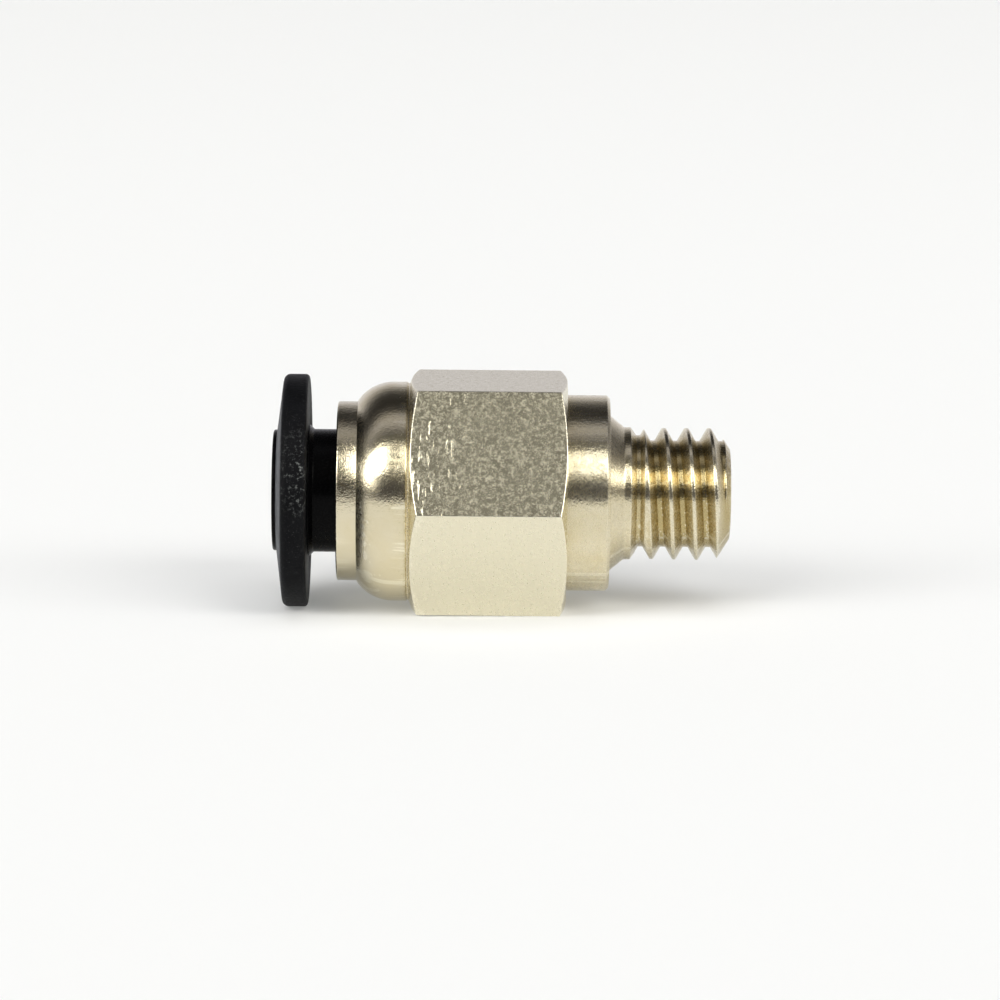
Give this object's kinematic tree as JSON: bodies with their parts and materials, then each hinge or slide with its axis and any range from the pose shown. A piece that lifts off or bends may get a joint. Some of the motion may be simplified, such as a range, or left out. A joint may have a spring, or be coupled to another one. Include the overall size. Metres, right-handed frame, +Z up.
{
  "type": "push to connect fitting",
  "caption": "Straight male push-in tube fitting: hexagon body with threaded spigot, domed mouth, guide sleeve, sliding collet and release ring.",
  "frame": {"origin": "on the axis, in the seat face of the shoulder that meets the port", "axes": "+X along the axis to the thread's end; +Z up with one flat of the hexagon down; the release ring is at the -X end"},
  "size_m": [0.0202, 0.0116, 0.0104],
  "materials": {
    "nickel_plate": "bright nickel plate on turned brass, lightly scratched",
    "charcoal_plastic": "matt moulded plastic",
    "black_acetal": "smooth black acetal",
    "stainless_steel": "rolled spring strip",
    "nitrile_rubber": "smooth moulded rubber",
    "white_acetal": "turned natural acetal"
  },
  "bodies": {
    "fitting_body": {"body": "nickel_plate", "guide_sleeve": "nickel_plate", "o_ring": "nitrile_rubber"},
    "swivel": {"backup_ring": "white_acetal"},
    "collet_group": {"collet": "black_acetal", "release_ring": "charcoal_plastic", "gripping_tooth_1": "stainless_steel", "gripping_tooth_2": "stainless_steel", "gripping_tooth_3": "stainless_steel", "gripping_tooth_4": "stainless_steel"}
  },
  "joints": [
    {"name": "collet_spin", "type": "hinge", "parent": "fitting_body", "child": "swivel", "pos_m": [0, 0, 0], "axis": [1, 0, 0], "continuous": true},
    {"name": "collet_slide", "type": "slide", "parent": "swivel", "child": "collet_group", "axis": [1, 0, 0], "range_m": [0, 0.00105]}
  ]
}
